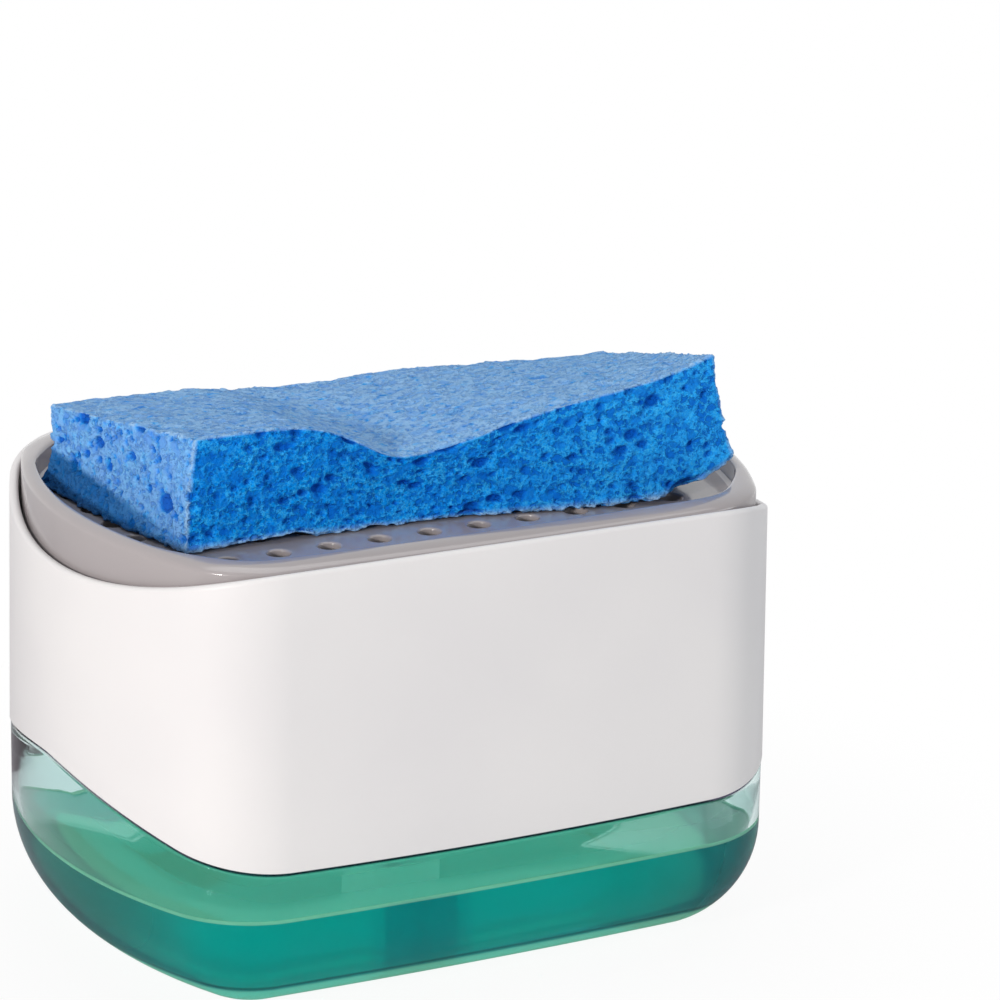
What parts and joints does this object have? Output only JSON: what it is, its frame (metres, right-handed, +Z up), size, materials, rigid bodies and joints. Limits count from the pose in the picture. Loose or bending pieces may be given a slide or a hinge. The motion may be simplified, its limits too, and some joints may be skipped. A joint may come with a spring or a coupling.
{
  "type": "soap pump caddy",
  "caption": "Clear soap tank under a white scooped housing, with a spring hand pump pressed by a perforated grey tray that holds a sponge",
  "frame": {"origin": "middle of the flat underside, on the surface that the caddy stands on", "axes": "+X along the long side, -Y out of the front, +Z up"},
  "size_m": [0.14, 0.105, 0.113],
  "materials": {
    "clear_plastic": "clear, polished, faint green tint",
    "green_soap": "liquid, clear blue-green",
    "white_plastic": "smooth satin white",
    "seal_rubber": "soft dark rubber",
    "natural_plastic": "milky natural plastic",
    "pump_white": "moulded white",
    "piston_plastic": "waxy sealing plastic",
    "spring_steel": "drawn stainless wire",
    "ball_steel": "polished stainless",
    "silicone": "translucent silicone",
    "nozzle_plastic": "moulded grey",
    "grey_plastic": "glossy mid grey",
    "sponge_blue": "open-pored cellulose"
  },
  "bodies": {
    "tank": {"tank": "clear_plastic", "soap_fill": "green_soap"},
    "housing": {"shell": "white_plastic", "deck_seal": "seal_rubber", "pump_cylinder": "natural_plastic", "neck_seal": "seal_rubber", "collar": "pump_white", "stem_guide": "natural_plastic", "stem_wiper": "seal_rubber", "return_spring": "spring_steel", "ball_cage": "natural_plastic", "dip_tube": "natural_plastic"},
    "valve_ball": {"inlet_ball": "ball_steel"},
    "plunger": {"stem": "pump_white", "piston": "piston_plastic", "pump_head": "pump_white", "outlet_valve": "silicone"},
    "tray": {"press_plate": "grey_plastic", "nozzle": "nozzle_plastic"},
    "sponge": {"sponge": "sponge_blue"}
  },
  "joints": [
    {"name": "shell_lift", "type": "slide", "parent": "tank", "child": "housing", "axis": [0, 0, 1], "range_m": [0, 0.055]},
    {"name": "plate_press", "type": "slide", "parent": "housing", "child": "plunger", "axis": [0, 0, -1], "range_m": [0, 0.01], "stiffness_N_per_m": 500, "springref_m": -0.01, "deforming": ["return_spring"]},
    {"name": "ball_lift", "type": "slide", "parent": "housing", "child": "valve_ball", "axis": [0, 0, 1], "range_m": [0, 0.0019]},
    {"name": "tray_lift", "type": "slide", "parent": "plunger", "child": "tray", "axis": [0, 0, 1], "range_m": [0, 0.03]},
    {"name": "sponge_lift", "type": "slide", "parent": "tray", "child": "sponge", "axis": [0, 0, 1], "range_m": [0, 0.04]}
  ]
}
